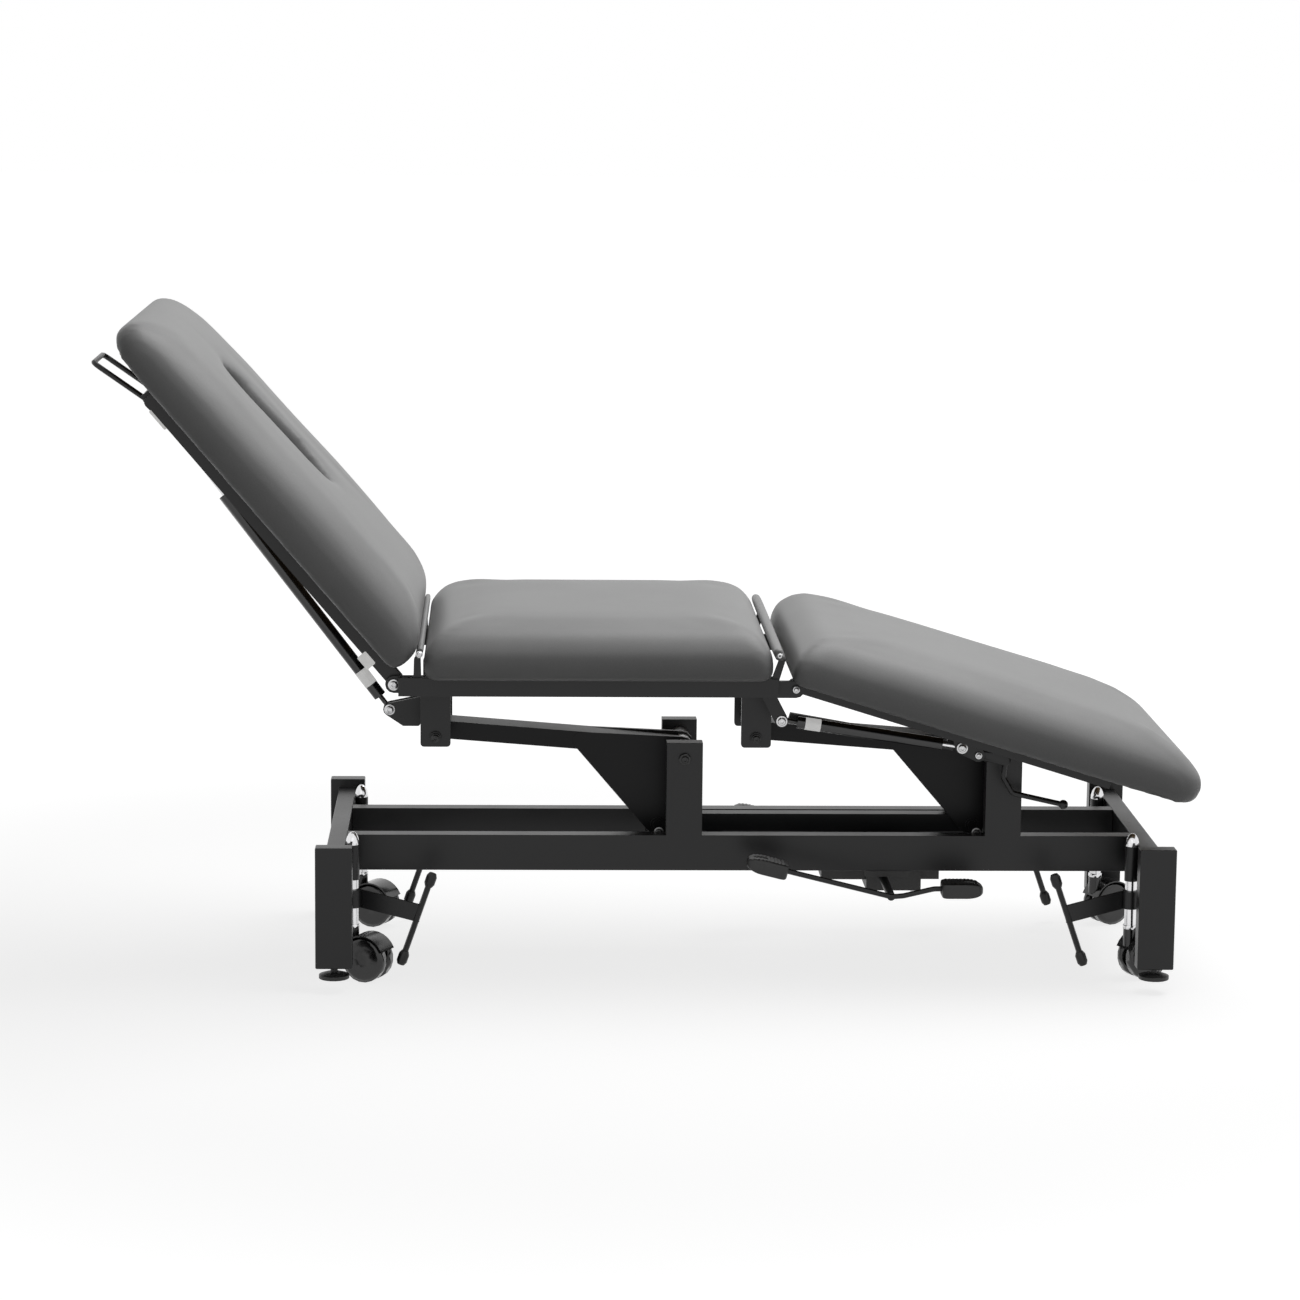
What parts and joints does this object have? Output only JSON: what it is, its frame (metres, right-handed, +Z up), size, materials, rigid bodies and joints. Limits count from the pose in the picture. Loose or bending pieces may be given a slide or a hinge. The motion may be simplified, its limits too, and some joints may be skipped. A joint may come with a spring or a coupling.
{
  "type": "treatment table",
  "caption": "Padded physiotherapy table in three sections on a pedal-pumped parallelogram lift, with a raised back section, a face hole and retracting castors.",
  "frame": {"origin": "centre of the bounding box on the floor, with the back section raised, the leg section dropped and the lift at its lowest", "axes": "+Z up, +X towards the foot end, the operator's side at -Y"},
  "size_m": [1.825, 0.62, 1.0924],
  "materials": {
    "frame_enamel": "satin black enamel",
    "bright_steel": "polished plating",
    "black_plastic": "fine matt",
    "black_rubber": "matt",
    "grey_vinyl": "smooth upholstery vinyl",
    "plywood": "raw plywood",
    "black_cylinder": "gloss black enamel",
    "cast_iron": "dark rough casting"
  },
  "bodies": {
    "base": {"rail_near": "frame_enamel", "rail_far": "frame_enamel", "pivot_bolt_head": "bright_steel", "pivot_bolt_foot": "bright_steel", "end_frame_head": "frame_enamel", "end_frame_foot": "frame_enamel", "castor_sleeve_head_near": "frame_enamel", "castor_sleeve_head_far": "frame_enamel", "castor_sleeve_foot_near": "frame_enamel", "castor_sleeve_foot_far": "frame_enamel", "pump_housing": "cast_iron"},
    "lift_arm_head": {"lift_arm_head": "frame_enamel"},
    "lift_arm_foot": {"lift_arm_foot": "frame_enamel"},
    "tie_rod": {"tie_rod": "frame_enamel"},
    "seat": {"seat_frame": "frame_enamel", "seat_board": "plywood", "seat_cushion": "grey_vinyl", "filler_pad_head": "grey_vinyl", "filler_pad_foot": "grey_vinyl"},
    "pump_cylinder": {"pump_cylinder": "black_cylinder"},
    "pump_ram": {"pump_ram": "bright_steel"},
    "pump_valve_pin": {"pump_valve_pin": "bright_steel"},
    "pedals": {"pedal_rocker": "frame_enamel", "pedal_pad_head_near": "black_rubber", "pedal_pad_head_far": "black_rubber", "pedal_pad_foot_near": "black_rubber", "pedal_pad_foot_far": "black_rubber"},
    "back": {"back_frame": "frame_enamel", "back_board": "plywood", "back_cushion": "grey_vinyl", "back_head_bracket": "frame_enamel"},
    "back_gas_cylinder": {"back_gas_cylinder": "black_cylinder"},
    "back_gas_rod": {"back_gas_rod": "bright_steel"},
    "back_release_handle": {"back_release_handle": "black_rubber"},
    "leg": {"leg_frame": "frame_enamel", "leg_board": "plywood", "leg_cushion": "grey_vinyl"},
    "leg_gas_cylinder": {"leg_gas_cylinder": "black_cylinder"},
    "leg_gas_rod": {"leg_gas_rod": "bright_steel"},
    "leg_release_lever": {"leg_release_lever": "frame_enamel"},
    "leveller_head_near": {"leveller_head_near": "black_rubber"},
    "castor_stem_head_near": {"castor_stem_head_near": "bright_steel"},
    "castor_lever_head_near": {"castor_lever_head_near": "black_rubber"},
    "castor_hood_head_near": {"castor_hood_head_near": "black_plastic"},
    "castor_wheels_head_near": {"castor_wheels_head_near": "black_rubber"},
    "leveller_head_far": {"leveller_head_far": "black_rubber"},
    "castor_stem_head_far": {"castor_stem_head_far": "bright_steel"},
    "castor_lever_head_far": {"castor_lever_head_far": "black_rubber"},
    "castor_hood_head_far": {"castor_hood_head_far": "black_plastic"},
    "castor_wheels_head_far": {"castor_wheels_head_far": "black_rubber"},
    "leveller_foot_near": {"leveller_foot_near": "black_rubber"},
    "castor_stem_foot_near": {"castor_stem_foot_near": "bright_steel"},
    "castor_lever_foot_near": {"castor_lever_foot_near": "black_rubber"},
    "castor_hood_foot_near": {"castor_hood_foot_near": "black_plastic"},
    "castor_wheels_foot_near": {"castor_wheels_foot_near": "black_rubber"},
    "leveller_foot_far": {"leveller_foot_far": "black_rubber"},
    "castor_stem_foot_far": {"castor_stem_foot_far": "bright_steel"},
    "castor_lever_foot_far": {"castor_lever_foot_far": "black_rubber"},
    "castor_hood_foot_far": {"castor_hood_foot_far": "black_plastic"},
    "castor_wheels_foot_far": {"castor_wheels_foot_far": "black_rubber"}
  },
  "joints": [
    {"name": "lift", "type": "hinge", "parent": "base", "child": "lift_arm_head", "pos_m": [0.0694, 0, 0.357], "axis": [0, 1, 0], "range_deg": [0, 50]},
    {"name": "lift_foot_arm", "type": "hinge", "parent": "base", "child": "lift_arm_foot", "pos_m": [0.6044, 0, 0.357], "axis": [0, 1, 0], "range_deg": [-0.5, 50.5]},
    {"name": "tie_rod_level", "type": "hinge", "parent": "lift_arm_head", "child": "tie_rod", "pos_m": [0.0284, 0, 0.2265], "axis": [0, 1, 0], "range_deg": [-50.5, 0.5]},
    {"name": "seat_level", "type": "hinge", "parent": "lift_arm_head", "child": "seat", "pos_m": [-0.346, 0, 0.389], "axis": [0, 1, 0], "range_deg": [-50.5, 0.5]},
    {"name": "pump_cylinder_swing", "type": "hinge", "parent": "base", "child": "pump_cylinder", "pos_m": [0.4954, 0, 0.18], "axis": [0, 1, 0], "range_deg": [-0.5, 9.5]},
    {"name": "pump_ram_swing", "type": "hinge", "parent": "tie_rod", "child": "pump_ram", "pos_m": [0.1254, 0, 0.188], "axis": [0, 1, 0], "range_deg": [-0.5, 9.5]},
    {"name": "valve_pin", "type": "slide", "parent": "base", "child": "pump_valve_pin", "axis": [0, 0, 1], "range_m": [0, 0.004], "stiffness_N_per_m": 400, "springref_m": -0.001},
    {"name": "pedal_rock", "type": "hinge", "parent": "base", "child": "pedals", "pos_m": [0.4104, 0, 0.142], "axis": [0, 1, 0], "range_deg": [-12, 12], "stiffness_Nm_per_rad": 40},
    {"name": "back_rake", "type": "hinge", "parent": "seat", "child": "back", "pos_m": [-0.4113, 0, 0.502], "axis": [0, 1, 0], "range_deg": [-49.5, 0]},
    {"name": "back_gas_cylinder_swing", "type": "hinge", "parent": "seat", "child": "back_gas_cylinder", "pos_m": [-0.4251, 0, 0.4188], "axis": [0, 1, 0], "range_deg": [-47.5, 0.5]},
    {"name": "back_gas_rod_swing", "type": "hinge", "parent": "back", "child": "back_gas_rod", "pos_m": [-0.80312, 0, 0.91564], "axis": [0, 1, 0], "range_deg": [-0.5, 3.5]},
    {"name": "back_release", "type": "hinge", "parent": "back", "child": "back_release_handle", "pos_m": [-0.81596, 0, 0.94346], "axis": [0, 1, 0], "range_deg": [0, 12], "stiffness_Nm_per_rad": 4, "springref_deg": -2.86},
    {"name": "leg_rake", "type": "hinge", "parent": "seat", "child": "leg", "pos_m": [0.2444, 0, 0.496], "axis": [0, -1, 0], "range_deg": [0, 17.1]},
    {"name": "leg_gas_cylinder_swing", "type": "hinge", "parent": "seat", "child": "leg_gas_cylinder", "pos_m": [0.2265, -0.16, 0.4308], "axis": [0, -1, 0], "range_deg": [-0.5, 17]},
    {"name": "leg_gas_rod_swing", "type": "hinge", "parent": "leg", "child": "leg_gas_rod", "pos_m": [0.52673, -0.16, 0.38665], "axis": [0, -1, 0], "range_deg": [-1.4, 0.5]},
    {"name": "leg_release", "type": "hinge", "parent": "leg", "child": "leg_release_lever", "pos_m": [0.55442, -0.16, 0.37395], "axis": [0, -1, 0], "range_deg": [0, 12], "stiffness_Nm_per_rad": 4, "springref_deg": -2.86},
    {"name": "leveller_screw_head_near", "type": "slide", "parent": "base", "child": "leveller_head_near", "axis": [0, 0, 1], "range_m": [-0.02, 0]},
    {"name": "castor_lift_head_near", "type": "slide", "parent": "base", "child": "castor_stem_head_near", "axis": [0, 0, 1], "range_m": [0, 0.016]},
    {"name": "castor_lever_turn_head_near", "type": "hinge", "parent": "castor_stem_head_near", "child": "castor_lever_head_near", "pos_m": [-0.4806, -0.195, 0.136], "axis": [0, 0, -1], "range_deg": [-0.5, 50.5]},
    {"name": "castor_swivel_head_near", "type": "hinge", "parent": "castor_stem_head_near", "child": "castor_hood_head_near", "pos_m": [-0.4806, -0.195, 0.075], "axis": [0, 0, 1], "continuous": true},
    {"name": "castor_roll_head_near", "type": "hinge", "parent": "castor_hood_head_near", "child": "castor_wheels_head_near", "pos_m": [-0.45565, -0.20771, 0.0375], "axis": [0.454, 0.891, 0], "continuous": true},
    {"name": "leveller_screw_head_far", "type": "slide", "parent": "base", "child": "leveller_head_far", "axis": [0, 0, 1], "range_m": [-0.02, 0]},
    {"name": "castor_lift_head_far", "type": "slide", "parent": "base", "child": "castor_stem_head_far", "axis": [0, 0, 1], "range_m": [0, 0.016]},
    {"name": "castor_lever_turn_head_far", "type": "hinge", "parent": "castor_stem_head_far", "child": "castor_lever_head_far", "pos_m": [-0.4806, 0.195, 0.136], "axis": [0, 0, 1], "range_deg": [-0.5, 50.5]},
    {"name": "castor_swivel_head_far", "type": "hinge", "parent": "castor_stem_head_far", "child": "castor_hood_head_far", "pos_m": [-0.4806, 0.195, 0.075], "axis": [0, 0, 1], "continuous": true},
    {"name": "castor_roll_head_far", "type": "hinge", "parent": "castor_hood_head_far", "child": "castor_wheels_head_far", "pos_m": [-0.45565, 0.18229, 0.0375], "axis": [0.454, 0.891, 0], "continuous": true},
    {"name": "leveller_screw_foot_near", "type": "slide", "parent": "base", "child": "leveller_foot_near", "axis": [0, 0, 1], "range_m": [-0.02, 0]},
    {"name": "castor_lift_foot_near", "type": "slide", "parent": "base", "child": "castor_stem_foot_near", "axis": [0, 0, 1], "range_m": [0, 0.016]},
    {"name": "castor_lever_turn_foot_near", "type": "hinge", "parent": "castor_stem_foot_near", "child": "castor_lever_foot_near", "pos_m": [0.8114, -0.195, 0.136], "axis": [0, 0, 1], "range_deg": [-0.5, 50.5]},
    {"name": "castor_swivel_foot_near", "type": "hinge", "parent": "castor_stem_foot_near", "child": "castor_hood_foot_near", "pos_m": [0.8114, -0.195, 0.075], "axis": [0, 0, 1], "continuous": true},
    {"name": "castor_roll_foot_near", "type": "hinge", "parent": "castor_hood_foot_near", "child": "castor_wheels_foot_near", "pos_m": [0.83635, -0.18229, 0.0375], "axis": [-0.454, 0.891, 0], "continuous": true},
    {"name": "leveller_screw_foot_far", "type": "slide", "parent": "base", "child": "leveller_foot_far", "axis": [0, 0, 1], "range_m": [-0.02, 0]},
    {"name": "castor_lift_foot_far", "type": "slide", "parent": "base", "child": "castor_stem_foot_far", "axis": [0, 0, 1], "range_m": [0, 0.016]},
    {"name": "castor_lever_turn_foot_far", "type": "hinge", "parent": "castor_stem_foot_far", "child": "castor_lever_foot_far", "pos_m": [0.8114, 0.195, 0.136], "axis": [0, 0, -1], "range_deg": [-0.5, 50.5]},
    {"name": "castor_swivel_foot_far", "type": "hinge", "parent": "castor_stem_foot_far", "child": "castor_hood_foot_far", "pos_m": [0.8114, 0.195, 0.075], "axis": [0, 0, 1], "continuous": true},
    {"name": "castor_roll_foot_far", "type": "hinge", "parent": "castor_hood_foot_far", "child": "castor_wheels_foot_far", "pos_m": [0.83635, 0.20771, 0.0375], "axis": [-0.454, 0.891, 0], "continuous": true}
  ],
  "couplings": [
    {"joint": "lift_foot_arm", "follows": "lift", "ratio": 1},
    {"joint": "tie_rod_level", "follows": "lift", "ratio": -1},
    {"joint": "seat_level", "follows": "lift", "ratio": -1},
    {"joint": "pump_cylinder_swing", "follows": "lift", "ratio": 0.1766},
    {"joint": "pump_ram_swing", "follows": "lift", "ratio": 0.1766},
    {"joint": "back_gas_cylinder_swing", "follows": "back_rake", "ratio": 0.945},
    {"joint": "back_gas_rod_swing", "follows": "back_rake", "ratio": -0.055},
    {"joint": "leg_gas_cylinder_swing", "follows": "leg_rake", "ratio": 0.951},
    {"joint": "leg_gas_rod_swing", "follows": "leg_rake", "ratio": -0.049},
    {"joint": "castor_lever_turn_head_near", "follows": "castor_lift_head_near", "rad_per_m": 54.542},
    {"joint": "castor_lever_turn_head_far", "follows": "castor_lift_head_far", "rad_per_m": 54.542},
    {"joint": "castor_lever_turn_foot_near", "follows": "castor_lift_foot_near", "rad_per_m": 54.542},
    {"joint": "castor_lever_turn_foot_far", "follows": "castor_lift_foot_far", "rad_per_m": 54.542}
  ]
}
